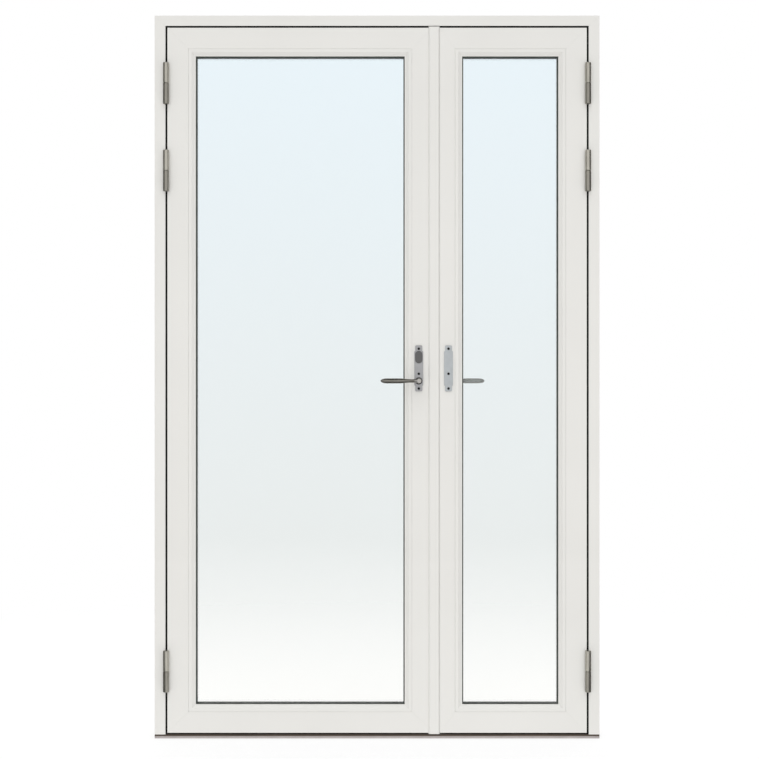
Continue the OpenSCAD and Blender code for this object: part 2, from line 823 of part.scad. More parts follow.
// Profile of the front lip seal: u away from the frame, v behind the seal's front
module lip_profile() {
  tall = frame_gap - lip_clear;
  mid = lip_base_d / 2;
  square([lip_base_t, lip_base_d]);
  translate([0, mid - lip_t / 2]) square([tall - lip_t / 2, lip_t]);
  translate([tall - lip_t / 2, mid]) circle(r = lip_t / 2);
}

// Front lip seal on the head and the jambs, left out at the hinges and behind the meeting strip
module lip_seal() {
  room = hinge_h / 2 + 1;
  difference() {
    union() {
      for (side = [0, 1])
        mirror([side, 0, 0]) translate([x_reveal, lip_y, z_board]) mirror([1, 0, 0])
          linear_extrude(z_reveal - z_board) lip_profile();
      translate([x_reveal, lip_y, z_reveal]) rotate([0, -90, 0]) mirror([1, 0, 0])
        linear_extrude(2 * x_reveal) lip_profile();
    }
    for (side = [-1, 1], z = hinge_places)
      block([side * x_hinge - frame_face / 2, y_out, z - room],
            [side * x_hinge + frame_face / 2, y_wood, z + room]);
    block([strip_x0 - 1, y_out, z_high - frame_gap], [strip_x1 + 1, y_wood, z_reveal + 1]);
  }
}

module frame_head() color(white_paint) {
  difference() {
    union() {
      block([-x_reveal, y_wood, z_reveal], [x_reveal, y_stop, frame_h]);
      block([-x_stop, y_stop, z_stop_high], [x_stop, y_in, frame_h]);
    }
    seal_z = (z_high + z_stop_high) / 2;
    block([-x_stop - 1, y_stop - 1, seal_z - seal_stem_w / 2],
          [x_stop + 1, y_stop + seal_stem_d, seal_z + seal_stem_w / 2]);
    translate([rod_x, y_lock, z_reveal - 1])
      cylinder(r = strike_r, h = rod_throw - rod_rest - frame_gap + strike_room + 1);
    strike_recess(z_reveal, z_reveal + strike_t);
  }
}

// Recess that a strike plate is let into
module strike_recess(z0, z1) {
  block([rod_x - strike_l / 2, y_lock - strike_w / 2, z0], [rod_x + strike_l / 2, y_lock + strike_w / 2, z1]);
}

module frame_jamb_left() color(white_paint) frame_jamb(-1);

module frame_jamb_right() color(white_paint) frame_jamb(1);

module threshold_board() color(hardwood) {
  seal_z = (z_low + z_stop_low) / 2;
  nose = 1.2;
  difference() {
    union() {
      along_x(-x_frame, x_frame,
              [[y_out, base_h], [y_out, z_board - nose], [y_out + nose, z_board],
               [y_in, z_board], [y_in, base_h]]);
      along_x(-x_stop, x_stop,
              [[y_stop, z_board - 1], [y_stop, z_stop_low - nose], [y_stop + nose, z_stop_low],
               [y_in - 4 * nose, z_stop_low], [y_in, z_stop_low - 4 * nose], [y_in, z_board - 1]]);
    }
    block([-x_stop - 1, y_stop - 1, seal_z - seal_stem_w / 2],
          [x_stop + 1, y_stop + seal_stem_d, seal_z + seal_stem_w / 2]);
    translate([rod_x, y_lock, base_h - 1]) cylinder(r = strike_r, h = board_h + 2);
    strike_recess(z_board - strike_t, z_board + 1);
  }
}

module threshold_base() color(mill_metal) {
  rooms = 3;
  web = 4;
  room_w = (frame_d - (rooms + 1) * web) / rooms;
  floor_t = 1.6;
  difference() {
    block([-x_frame, y_out, 0], [x_frame, y_in, base_h]);
    for (i = [0 : rooms - 1]) {
      y = y_out + web + i * (room_w + web);
      block([-x_frame - 1, y, floor_t], [x_frame + 1, y + room_w, base_h - floor_t]);
    }
    translate([rod_x, y_lock, strike_floor]) cylinder(r = strike_r, h = base_h);
  }
}

module head_cladding() color(white_metal)
  mitred_bar("top", [-x_frame, x_frame, z_board, frame_h], [frame_face, frame_face, 0, head_face],
             channel(head_face));

module jamb_cladding() color(white_metal)
  for (side = ["left", "right"])
    mitred_bar(side, [-x_frame, x_frame, z_board, frame_h], [frame_face, frame_face, 0, head_face],
               channel(frame_face));

module frame_seal() color(dark_rubber) {
  low = (z_low + z_stop_low) / 2;
  high = (z_high + z_stop_high) / 2;
  half = seal_base_w / 2;
  for (side = [-1, 1])
    translate([side * seal_x, y_stop, low - half]) linear_extrude(high - low + 2 * half) seal_profile();
  for (z = [low, high]) {
    translate([x_stop, y_stop, z]) rotate([0, -90, 0]) linear_extrude(2 * x_stop) seal_profile();
    translate([seal_x - half, y_stop, z]) rotate([0, -90, 0]) linear_extrude(2 * (seal_x - half)) seal_bulb();
  }
  lip_seal();
}

module bolt_strikes() color(nickel)
  for (z = [z_reveal, z_board - strike_t])
    difference() {
      strike_recess(z, z + strike_t);
      translate([rod_x, y_lock, z - 1]) cylinder(r = strike_r, h = strike_t + 2);
    }

module hinge_frame_halves() color(nickel)
  for (side = [-1, 1], z = hinge_places)
    hinge_half(side, z, false);

module hinge_pins() color(mill_metal)
  for (side = [-1, 1], z = hinge_places)
    translate([side * x_hinge, y_hinge, z - hinge_h / 2 + pin_end])
      cylinder(r = hinge_pin_r, h = hinge_h - pin_end - knuckle_cap - pin_room);

module active_hinge_stile() color(white_paint)
  difference() {
    side_bar("left", active_ring, timber(sight_w, 0));
    flag_screw_holes(-1, true);
  }

module active_lock_stile() color(white_paint)
  difference() {
    side_bar("right", active_ring, timber(sight_w, -post_w));
    block([case_x0, y_lock - case_t / 2, case_z0], [case_x1 + 1, y_lock + case_t / 2, case_z1]);
    block([rail_x0 - slide_clear, rail_y0 - slide_clear, rail_z0 - 1],
          [x_active + 1, rail_y1 + slide_clear, rail_z1 + bolt_throw + 1]);
    block([x_active - edge_plate_t, y_lock - edge_plate_w / 2, edge_z0],
          [x_active + 1, y_lock + edge_plate_w / 2, edge_z1]);
    for (z = bolt_places)
      bolt_room(z, bolt_x0 - 1, x_active, slide_clear);
    bar_y(x_lever_a, lever_z, y_wood - 1, y_back + 1, spindle_hole_r);
    on_face(x_lever_a, false) screw_holes(screw_out_l);
    on_face(x_lever_a, true) screw_holes(screw_in_l);
  }

// Room for a bolt at a height, larger than the bolt by a clearance
module bolt_room(z, x0, x1, clear) {
  block([x0, y_lock - bolt_t / 2 - clear, z - bolt_h / 2 - clear],
        [x1, y_lock + bolt_t / 2 + clear, z + bolt_h / 2 + clear]);
}

module active_top_rail() color(white_paint)
  rail("top", active_ring, active_border);

module active_bottom_rail() color(white_paint)
  rail("bottom", active_ring, active_border);

module active_stile_cladding() color(white_metal)
  difference() {
    leaf_cladding(active_ring, active_border, ["left", "right"]);
    bar_y(x_lever_a, lever_z, y_out - 1, y_wood, hub_r + hub_fit + 0.3);
    on_face(x_lever_a, false) screw_holes(screw_out_l);
  }

module active_rail_cladding() color(white_metal)
  leaf_cladding(active_ring, active_border, ["bottom", "top"]);

module active_glazing_beads() color(white_metal) glazing_beads(active_sight);

module active_panes() color(pale_glass) panes(active_sight);

module active_spacer() color(dark_grey) spacer(active_sight);

module active_gaskets() color(dark_rubber) gaskets(active_sight);

module active_setting_blocks() color(dark_grey) setting_blocks(active_sight);

module active_hinge_halves() color(nickel) leaf_hinges(-1);

module meeting_strip() color(white_metal) {
  front = y_out - strip_t;
  leg_x1 = x_active + strip_leg_out;
  translate([0, 0, z_low - strip_over]) linear_extrude(z_high - z_low + 2 * strip_over)
    polygon([
      [strip_x0, y_out], [strip_x0, y_out - strip_edge], [strip_x0 + strip_bevel, front],
      [strip_x1 - strip_bevel, front], [strip_x1, y_out - strip_edge], [strip_x1, y_out],
      [leg_x1, y_out], [leg_x1, y_wood], [leg_x1 - strip_leg, y_wood], [leg_x1 - strip_leg, y_out]
    ]);
}

module meeting_seal() color(dark_rubber) {
  x = x_active + strip_leg_out;
  y = (y_out + y_wood) / 2;
  translate([x, y, z_low]) linear_extrude(z_high - z_low) {
    translate([0, -strip_seal_w / 2]) square([strip_seal_base, strip_seal_w]);
    intersection() {
      translate([strip_seal_base - 0.1, 0]) circle(r = strip_seal_r);
      translate([0, -strip_seal_w]) square([strip_seal_w, 2 * strip_seal_w]);
    }
  }
}

module active_lock_case() color(mill_metal) {
  y0 = rail_y0 - slide_clear;
  y1 = rail_y1 + slide_clear;
  tip = active_wheel_r + tooth_add * active_tooth;
  rack_low = (rail_teeth + 1) * PI * active_tooth;
  rack_high = 2 * PI * active_tooth + bolt_throw;
  halved(y1) difference() {
    block([case_x0, y_lock - case_t / 2, case_z0], [case_x1, y_lock + case_t / 2, case_z1]);
    bar_y(x_lever_a, lever_z, y_lock - case_t, y_lock + case_t, journal_r + follower_fit);
    bar_y(x_lever_a, lever_z, y0, y1, tip + wheel_room);
    block([rail_x0 - slide_clear, y0, case_z0 - 1], [case_x1 + 1, y1, case_z1 + 1]);
    block([rack_x - tooth_add * active_tooth - wheel_room, y0, lever_z - rack_low],
          [rail_x0, y1, lever_z + rack_high]);
    bolt_room(bolt_places[1], bolt_x0 - 1, case_x1 + 1, slide_clear);
  }
}

module active_edge_plate() color(nickel)
  difference() {
    block([x_active - edge_plate_t, y_lock - edge_plate_w / 2, edge_z0],
          [x_active, y_lock + edge_plate_w / 2, edge_z1]);
    for (z = bolt_places)
      bolt_room(z, x_active - edge_plate_t - 1, x_active + 1, slide_clear);
  }

module active_outside_plate() color(nickel) on_face(x_lever_a, false) handle_plate(true, true);

module active_inside_plate() color(nickel) on_face(x_lever_a, true) handle_plate(true, true);

module active_cylinder_plugs() color(dark_grey)
  for (inside = [false, true])
    on_face(x_lever_a, inside)
      translate([0, 0, plug_up]) rotate([90, 0, 0]) linear_extrude(plate_t + plug_proud) plug_outline(0);

module active_plate_screws() color(dark_rubber) {
  on_face(x_lever_a, false) plate_screws(screw_out_l);
  on_face(x_lever_a, true) plate_screws(screw_in_l);
}

module active_outside_lever() color(nickel) on_face(x_lever_a, false) lever();

module active_inside_lever() color(nickel) on_face(x_lever_a, true) lever();

module active_spindle() color(mill_metal) spindle(x_lever_a, y_out - spindle_out, y_back + spindle_out);

module active_follower() color(mill_metal)
  follower(x_lever_a, active_wheel_r, active_teeth, rail_y0, rail_y1);

module active_bolts() color(mill_metal)
  for (z = bolt_places) {
    front = x_active - bolt_rest;
    half = bolt_h / 2;
    plate_y(y_lock - bolt_t / 2, y_lock + bolt_t / 2)
      polygon([[bolt_x0, z - half], [front - bolt_edge, z - half], [front, z - half + bolt_edge],
               [front, z + half - bolt_edge], [front - bolt_edge, z + half], [bolt_x0, z + half]]);
    bar_y(bolt_x0 + pin_in, z, rail_y0, y_lock, pin_r);
  }

// Slanted slot of the drive rail for the pin of the bolt at a height
module pin_slot(z) {
  r = pin_r + slide_clear / 2;
  translate([bolt_x0 + pin_in, z]) {
    for (shift = [0, bolt_throw])
      translate([shift, -shift]) circle(r = r);
    rotate(-45) translate([0, -r]) square([bolt_throw * sqrt(2), 2 * r]);
  }
}

// Drive rail, with a rack that is set back into its edge where the stile leaves less room for the wheel
module active_drive_rail() color(mill_metal) {
  wheel_tip = active_wheel_r + active_tooth;
  rack_edge = max(rail_x0, rack_x + tooth_ded * active_tooth);
  rack_z0 = lever_z - wheel_tip - bolt_throw;
  rack_z1 = lever_z + wheel_tip;
  set_back = rack_edge > rail_x0;
  plate_y(rail_y0, rail_y1)
    difference() {
      polygon(concat(
        [[rail_x0, rail_z1], [rail_x1, rail_z1], [rail_x1, rail_z0], [rail_x0, rail_z0]],
        set_back ? [[rail_x0, rack_z0], [rack_edge, rack_z0]] : [],
        rack_points(rack_x, -1, rack_edge, active_tooth, -rail_teeth, 1),
        set_back ? [[rack_edge, rack_z1], [rail_x0, rack_z1]] : []
      ));
      for (z = bolt_places)
        pin_slot(z);
    }
}

module passive_hinge_stile() color(white_paint)
  difference() {
    side_bar("right", passive_ring, timber(sight_w, 0));
    flag_screw_holes(1, true);
  }

module passive_meeting_stile() color(white_paint)
  difference() {
    side_bar("left", passive_ring, timber(meeting_w, x_keep - x_passive));
    block([gear_x0, y_lock - case_t / 2, gear_z0], [gear_x1, y_lock + case_t / 2, gear_z1]);
    block([x_keep - 1, y_lock - edge_plate_w / 2, edge_z0],
          [x_keep + edge_plate_t, y_lock + edge_plate_w / 2, edge_z1]);
    for (z = bolt_places)
      bolt_room(z, x_keep - 1, keep_depth, keep_clear);
    translate([rod_x, y_lock, z_low - 1]) cylinder(r = rod_r + slide_clear, h = z_high - z_low + 2);
    bar_y(x_lever_p, lever_z, y_lock, y_back + 1, spindle_hole_r);
    on_face(x_lever_p, false) screw_holes(screw_out_l);
    on_face(x_lever_p, true) screw_holes(screw_in_l);
  }

module passive_top_rail() color(white_paint)
  rail("top", passive_ring, passive_border);

module passive_bottom_rail() color(white_paint)
  rail("bottom", passive_ring, passive_border);

module passive_stile_cladding() color(white_metal)
  difference() {
    leaf_cladding(passive_ring, passive_border, ["left", "right"]);
    on_face(x_lever_p, false) screw_holes(screw_out_l);
  }

module passive_rail_cladding() color(white_metal)
  leaf_cladding(passive_ring, passive_border, ["bottom", "top"]);

module passive_glazing_beads() color(white_metal) glazing_beads(passive_sight);

module passive_panes() color(pale_glass) panes(passive_sight);

module passive_spacer() color(dark_grey) spacer(passive_sight);

module passive_gaskets() color(dark_rubber) gaskets(passive_sight);

module passive_setting_blocks() color(dark_grey) setting_blocks(passive_sight);

module passive_hinge_halves() color(nickel) leaf_hinges(1);

module passive_gearbox() color(mill_metal) {
  y0 = y_lock - rack_t / 2 - slide_clear;
  y1 = y_lock + rack_t / 2 + slide_clear;
  reach = tooth_add * passive_tooth;
  left = x_lever_p - passive_wheel_r + reach + wheel_room;
  right = x_lever_p + passive_wheel_r - reach - wheel_room;
  rack_l = (rod_teeth + 0.5) * PI * passive_tooth + wheel_room;
  halved(y_lock) difference() {
    block([gear_x0, y_lock - case_t / 2, gear_z0], [gear_x1, y_lock + case_t / 2, gear_z1]);
    bar_y(x_lever_p, lever_z, y_lock - case_t, y_lock + case_t, journal_r + follower_fit);
    bar_y(x_lever_p, lever_z, y0, y1, passive_wheel_r + reach + wheel_room);
    block([rack_x0 - slide_clear, y0, lever_z - rack_l], [left, y1, yoke_z1 + rod_throw + wheel_room]);
    block([rack_x0 - slide_clear, y0, yoke_z0 - wheel_room],
          [rack_x1 + slide_clear, y1, yoke_z1 + rod_throw + wheel_room]);
    block([right, y0, lever_z - foot_drop - rod_throw - wheel_room],
          [rack_x1 + slide_clear, y1, lever_z + rack_l]);
    for (end = [[yoke_z0, gear_z1 + 1], [gear_z0 - 1, lever_z - foot_drop + foot_in + wheel_room]])
      translate([rod_x, y_lock, end[0]]) cylinder(r = rod_r + slide_clear, h = end[1] - end[0]);
  }
}

module passive_keep_plate() color(nickel)
  difference() {
    block([x_keep, y_lock - edge_plate_w / 2, edge_z0],
          [x_keep + edge_plate_t, y_lock + edge_plate_w / 2, edge_z1]);
    for (z = bolt_places)
      bolt_room(z, x_keep - 1, x_keep + edge_plate_t + 1, keep_clear);
  }

module passive_outside_plate() color(nickel) on_face(x_lever_p, false) handle_plate(false, false);

module passive_inside_plate() color(nickel) on_face(x_lever_p, true) handle_plate(true, false);

module passive_plate_screws() color(dark_rubber) {
  on_face(x_lever_p, false) plate_screws(screw_out_l);
  on_face(x_lever_p, true) plate_screws(screw_in_l);
}

module passive_inside_lever() color(nickel) on_face(x_lever_p, true) mirror([1, 0, 0]) lever();

module passive_spindle() color(mill_metal) spindle(x_lever_p, y_lock - case_t / 2, y_back + spindle_out);

module passive_follower() color(mill_metal)
  follower(x_lever_p, passive_wheel_r, passive_teeth, y_lock - rack_t / 2, y_lock + rack_t / 2);

// Upper rod: a rack on the wheel's left side, a yoke above the wheel and the rod itself
module passive_upper_rod() color(mill_metal) {
  top = z_high - rod_rest;
  pitch_x = x_lever_p - passive_wheel_r;
  plate_y(y_lock - rack_t / 2, y_lock + rack_t / 2) {
    polygon(rack_points(pitch_x, 1, rack_x0, passive_tooth, -rod_teeth, 1));
    translate([rack_x0, lever_z]) square([pitch_x - tooth_ded * passive_tooth - rack_x0, yoke_z1 - lever_z]);
    translate([rack_x0, yoke_z0]) square([rack_x1 - rack_x0, yoke_z1 - yoke_z0]);
  }
  translate([rod_x, y_lock, yoke_z0 + 1]) cylinder(r = rod_r, h = top - rod_edge - yoke_z0 - 1);
  translate([rod_x, y_lock, top - rod_edge]) cylinder(r1 = rod_r, r2 = rod_r - rod_edge, h = rod_edge);
}

// Lower rod: a rack on the wheel's right side and the rod itself
module passive_lower_rod() color(mill_metal) {
  bottom = z_low + rod_rest;
  foot = lever_z - foot_drop;
  pitch_x = x_lever_p + passive_wheel_r;
  root_x = pitch_x + tooth_ded * passive_tooth;
  plate_y(y_lock - rack_t / 2, y_lock + rack_t / 2) {
    polygon(rack_points(pitch_x, -1, rack_x1, passive_tooth, -1, rod_teeth));
    translate([root_x, foot]) square([rack_x1 - root_x, foot_drop]);
  }
  translate([rod_x, y_lock, bottom + rod_edge]) cylinder(r = rod_r, h = foot + foot_in - bottom - rod_edge);
  translate([rod_x, y_lock, bottom]) cylinder(r1 = rod_r - rod_edge, r2 = rod_r, h = rod_edge);
}

frame_head();
frame_jamb_left();
frame_jamb_right();
threshold_board();
threshold_base();
head_cladding();
jamb_cladding();
frame_seal();
bolt_strikes();
hinge_frame_halves();
hinge_pins();
active_hinge_stile();
active_lock_stile();
active_top_rail();
active_bottom_rail();
active_stile_cladding();
active_rail_cladding();
active_glazing_beads();
active_panes();
active_spacer();
active_gaskets();
active_setting_blocks();
active_hinge_halves();
meeting_strip();
meeting_seal();
active_lock_case();
active_edge_plate();
active_outside_plate();
active_inside_plate();
active_cylinder_plugs();
active_plate_screws();
active_outside_lever();
active_inside_lever();
active_spindle();
active_follower();
active_bolts();
active_drive_rail();
passive_hinge_stile();
passive_meeting_stile();
passive_top_rail();
passive_bottom_rail();
passive_stile_cladding();
passive_rail_cladding();
passive_glazing_beads();
passive_panes();
passive_spacer();
passive_gaskets();
passive_setting_blocks();
passive_hinge_halves();
passive_gearbox();
passive_keep_plate();
passive_outside_plate();
passive_inside_plate();
passive_plate_screws();
passive_inside_lever();
passive_spindle();
passive_follower();
passive_upper_rod();
passive_lower_rod();
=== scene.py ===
"""Looks of a pair of glazed french doors in their frame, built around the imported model.

X runs to the right seen from outside, Y runs from outside to inside and Z is up, in metres.
"""

import math

import bmesh
import bpy
from mathutils import Matrix, Vector


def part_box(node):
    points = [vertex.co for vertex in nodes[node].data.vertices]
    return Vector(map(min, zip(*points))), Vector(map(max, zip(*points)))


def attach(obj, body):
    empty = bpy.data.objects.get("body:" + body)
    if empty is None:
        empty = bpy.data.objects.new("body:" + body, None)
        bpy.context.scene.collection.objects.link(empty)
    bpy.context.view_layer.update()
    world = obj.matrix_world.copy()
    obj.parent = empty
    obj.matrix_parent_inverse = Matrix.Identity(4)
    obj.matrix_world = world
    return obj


MM = 0.001
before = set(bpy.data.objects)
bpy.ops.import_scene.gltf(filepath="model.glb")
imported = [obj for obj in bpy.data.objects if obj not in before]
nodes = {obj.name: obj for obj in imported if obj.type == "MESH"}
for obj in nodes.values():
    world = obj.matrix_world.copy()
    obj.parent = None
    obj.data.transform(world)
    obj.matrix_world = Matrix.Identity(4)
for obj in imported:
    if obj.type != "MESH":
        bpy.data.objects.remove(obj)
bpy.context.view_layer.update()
scene = bpy.context.scene

# Camera: how wide the picture is at the outside face, and where its middle lies on the doors
PICTURE_W = 2.184
VIEW_DISTANCE = 5.0
AIM_X = 0.0070
AIM_Z = 1.0328
SENSOR_W = 36.0

# Colours as linear light
WHITE_COAT = (0.80, 0.795, 0.765)
WHITE_PAINT = (0.79, 0.785, 0.755)
HARDWOOD_DARK = (0.050, 0.036, 0.027)
HARDWOOD_LIGHT = (0.110, 0.080, 0.060)
MILL_METAL = (0.50, 0.46, 0.45)
NICKEL = (0.50, 0.48, 0.42)
# Nickel of the frame hinge halves: the leaf halves' nickel, painted darker as shade
NICKEL_SHADED = (0.33, 0.315, 0.275)
# One plate steel in two tones: painted darker on the lever plates as their levers' shadow, and lighter and
# bluer on the blank plate as painted light
PLATE_STEEL_SHADED = (0.40, 0.40, 0.41)
BLANK_STEEL_LIT = (0.48, 0.505, 0.52)
# The lever's hub steel is a painted highlight, and its collar steel a painted shadow at its plate
HUB_HIGHLIGHT_STEEL = (0.47, 0.455, 0.43)
GRIP_STEEL = (0.215, 0.205, 0.18)
COLLAR_SHADOW_STEEL = (0.055, 0.053, 0.050)
ZINC = (0.56, 0.57, 0.58)
SCREW_BLACK = (0.012, 0.012, 0.012)
SEAL_BLACK = (0.006, 0.006, 0.006)
GASKET_BLACK = (0.056, 0.063, 0.058)
SPACER_GREY = (0.080, 0.085, 0.083)
PLUG_GREY = (0.105, 0.105, 0.105)
FLOOR_BOUNCE = (0.945, 0.93, 0.92, 1)
PLAIN_WHITE = (1, 1, 1, 1)

# Tint of the glass, from its bottom at 0 to its top at 1: a painted reflection, pale blue sky towards the
# top, duller in the middle and near clear at the bottom
GLASS_REFLECTION_STOPS = (
    (0.0, (1.0, 1.0, 0.99)),
    (0.26, (0.90, 0.918, 0.914)),
    (1.0, (0.902, 0.951, 0.976)),
)

# Zones of a lever: its hub and grip measured from its axis, its collar from its plate
HUB_END = 8 * MM
GRIP_START = 16 * MM
COLLAR_END = 5.45 * MM
# Tone at which a lever has each of its steels: the hub's light steel is a painted highlight, and the
# collar's near-black steel a painted shadow where the lever meets its plate
HUB_HIGHLIGHT_TONE = 0.5
LEVER_TONES = ((0.0, COLLAR_SHADOW_STEEL), (HUB_HIGHLIGHT_TONE, HUB_HIGHLIGHT_STEEL), (1.0, GRIP_STEEL))

# The part of a noise's range that it mostly stays in
NOISE_LOW = 0.3
NOISE_HIGH = 0.7


# Node helpers

def new_material(name):
    """A material with its node tree and its shader."""
    made = bpy.data.materials.new(name)
    made.use_nodes = True
    return made, made.node_tree, made.node_tree.nodes["Principled BSDF"]


def bare_material(name):
    """A material whose node tree is still empty."""
    made = bpy.data.materials.new(name)
    made.use_nodes = True
    made.node_tree.nodes.clear()
    return made, made.node_tree


def add(tree, kind, inputs=None, **settings):
    """A new node with its settings, and its inputs linked to sockets or set to values."""
    made = tree.nodes.new(kind)
    for key, value in settings.items():
        setattr(made, key, value)
    for key, value in (inputs or {}).items():
        if isinstance(value, bpy.types.NodeSocket):
            tree.links.new(value, made.inputs[key])
        else:
            made.inputs[key].default_value = value
    return made


def math_node(tree, operation, *values):
    """The result of a sum or the like of numbers or sockets."""
    return add(tree, "ShaderNodeMath", dict(enumerate(values)), operation=operation).outputs[0]


def own_place(tree):
    """The point of the surface in the object's own space."""
    return add(tree, "ShaderNodeTexCoord").outputs["Object"]


def noise(tree, scale, stretch=(1, 1, 1), detail=2.0):
    """Noise with a number of repeats per metre, which stretch lowers along some axes."""
    placed = add(tree, "ShaderNodeMapping", {"Vector": own_place(tree), "Scale": stretch}).outputs["Vector"]
    made = add(tree, "ShaderNodeTexNoise", {"Vector": placed, "Scale": scale, "Detail": detail})
    return made.outputs["Fac"]


def drawn(along, share):
    """Stretch for noise that is drawn out along one axis."""
    return tuple(share if axis == along else 1.0 for axis in "XYZ")


def blend(tree, factor, stops):
    """A colour that runs through stops, each a place from 0 to 1 and a colour, as the factor grows."""
    made = add(tree, "ShaderNodeValToRGB", {"Fac": factor})
    elements = made.color_ramp.elements
    while len(elements) < len(stops):
        elements.new(1.0)
    for element, (place, colour) in zip(elements, stops):
        element.position = place
        element.color = (*colour, 1)
    return made.outputs["Color"]


def scaled(colour, share):
    return tuple(c * share for c in colour)


def varied(tree, factor, colour, least, most, start=NOISE_LOW, end=NOISE_HIGH):
    """A colour that goes from its least to its most share as the factor goes from start to end."""
    return blend(tree, factor, ((start, scaled(colour, least)), (end, scaled(colour, most))))


def carried(tree, value, start, end, low, high):
    """A value between start and end, carried over to low and high."""
    made = add(tree, "ShaderNodeMapRange", {"Value": value, "From Min": start, "From Max": end,
                                            "To Min": low, "To Max": high})
    return made.outputs["Result"]


def spread(tree, factor, low, high):
    """The usual range of a noise, carried over to low and high."""
    return carried(tree, factor, NOISE_LOW, NOISE_HIGH, low, high)


def bump(tree, height, depth, below=None):
    """A normal from a height of a given depth in metres, on top of another bump if there is one."""
    inputs = {"Height": height, "Distance": depth, "Strength": 1.0}
    if below is not None:
        inputs["Normal"] = below
    return add(tree, "ShaderNodeBump", inputs).outputs["Normal"]


def wire(tree, shader, **sockets):
    """Links outputs to the shader's sockets, named with underscores for spaces."""
    for name, socket in sockets.items():
        tree.links.new(socket, shader.inputs[name.replace("_", " ")])


# Materials

def powder_coat(name):
    """Satin white powder coat on aluminium, with its fine orange peel."""
    made, tree, shader = new_material(name)
    broad = noise(tree, scale=4.0, detail=3.0)
    sheen = noise(tree, scale=60.0)
    peel = noise(tree, scale=900.0)
    wire(tree, shader,
         Base_Color=varied(tree, broad, WHITE_COAT, least=0.982, most=1.012),
         Roughness=spread(tree, sheen, low=0.36, high=0.46),
         Normal=bump(tree, peel, depth=0.02 * MM))
    return made


def painted_timber(name, along):
    """White paint on timber: brush marks and a little raised grain along the piece's length."""
    made, tree, shader = new_material(name)
    lengthwise = drawn(along, 0.02)
    broad = noise(tree, scale=5.0, detail=3.0)
    brush = noise(tree, scale=700.0, stretch=lengthwise, detail=3.0)
    rings = noise(tree, scale=110.0, stretch=lengthwise, detail=4.0)
    raised = bump(tree, rings, depth=0.10 * MM)
    wire(tree, shader,
         Base_Color=varied(tree, broad, WHITE_PAINT, least=0.975, most=1.012),
         Roughness=spread(tree, brush, low=0.38, high=0.52),
         Normal=bump(tree, brush, depth=0.03 * MM, below=raised))
    return made


def oiled_hardwood():
    """Dark oiled hardwood with its grain and open pores along X."""
    made, tree, shader = new_material("oiled_hardwood")
    figure = noise(tree, scale=90.0, stretch=drawn("X", 0.05), detail=6.0)
    pores = noise(tree, scale=900.0, stretch=drawn("X", 0.02))
    raised = bump(tree, figure, depth=0.08 * MM)
    wire(tree, shader,
         Base_Color=blend(tree, figure, ((NOISE_LOW, HARDWOOD_DARK), (NOISE_HIGH, HARDWOOD_LIGHT))),
         Roughness=spread(tree, pores, low=0.42, high=0.62),
         Normal=bump(tree, pores, depth=0.12 * MM, below=raised))
    return made


def brush_lines(tree, along):
    """Fine lines that brushing leaves in metal."""
    return noise(tree, scale=2200.0, stretch=drawn(along, 0.015))


def metal_clouds(tree):
    """Faint broad clouds on bare metal."""
    return noise(tree, scale=35.0, detail=3.0)


def finish_brushed(tree, shader, colour, lines, rough):
    """Gives the shader its metal colour and the gloss and relief of its brush lines."""
    shader.inputs["Metallic"].default_value = 1.0
    wire(tree, shader,
         Base_Color=colour,
         Roughness=spread(tree, lines, *rough),
         Normal=bump(tree, lines, depth=0.012 * MM))


def brushed_metal(name, colour, along, rough=(0.28, 0.42)):
    """Brushed metal, with its fine lines along one axis and faint broad clouds."""
    made, tree, shader = new_material(name)
    clouded = varied(tree, metal_clouds(tree), colour, least=0.93, most=1.05)
    finish_brushed(tree, shader, clouded, brush_lines(tree, along), rough)
    return made


def turned_lever(node, plate):
    """Brushed steel of a lever: a hub painted light as a highlight, a grip darker than the hub, and a
    collar painted dark as shadow at its plate.
    """
    made, tree, shader = new_material(f"{node}_steel")
    plate_low, plate_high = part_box(plate)
    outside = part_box(node)[0].y < plate_low.y
    seat = ((plate_low.x + plate_high.x) / 2, plate_low.y if outside else plate_high.y, 0)
    offset = add(tree, "ShaderNodeVectorMath", {0: own_place(tree), 1: seat}, operation="SUBTRACT")
    size = add(tree, "ShaderNodeVectorMath", {0: offset.outputs["Vector"]}, operation="ABSOLUTE")
    away = add(tree, "ShaderNodeSeparateXYZ", {"Vector": size.outputs["Vector"]}).outputs
    rubbed = spread(tree, metal_clouds(tree), low=0.88, high=1.0)
    # The hub is painted lighter than the grip, as a highlight
    hub_highlight_to_grip = carried(tree, away["X"], HUB_END, GRIP_START, HUB_HIGHLIGHT_TONE, rubbed)
    # Within COLLAR_END of the plate the lever is painted near black, as shadow
    off_collar_shadow = math_node(tree, "GREATER_THAN", away["Y"], COLLAR_END)
    tone = math_node(tree, "MULTIPLY", hub_highlight_to_grip, off_collar_shadow)
    finish_brushed(tree, shader, blend(tree, tone, LEVER_TONES), brush_lines(tree, "X"), (0.22, 0.34))
    return made


def zinc_plate():
    """Zinc plated steel, with its small dull crystals."""
    made, tree, shader = new_material("zinc_plated_steel")
    cells = add(tree, "ShaderNodeTexVoronoi", {"Vector": own_place(tree), "Scale": 240.0}).outputs["Color"]
    grey = add(tree, "ShaderNodeSeparateColor", {"Color": cells}).outputs["Red"]
    shader.inputs["Metallic"].default_value = 1.0
    wire(tree, shader,
         Base_Color=varied(tree, grey, ZINC, least=0.90, most=1.06, start=0.0, end=1.0),
         Roughness=spread(tree, grey, low=0.34, high=0.46),
         Normal=bump(tree, noise(tree, scale=1500.0), depth=0.01 * MM))
    return made


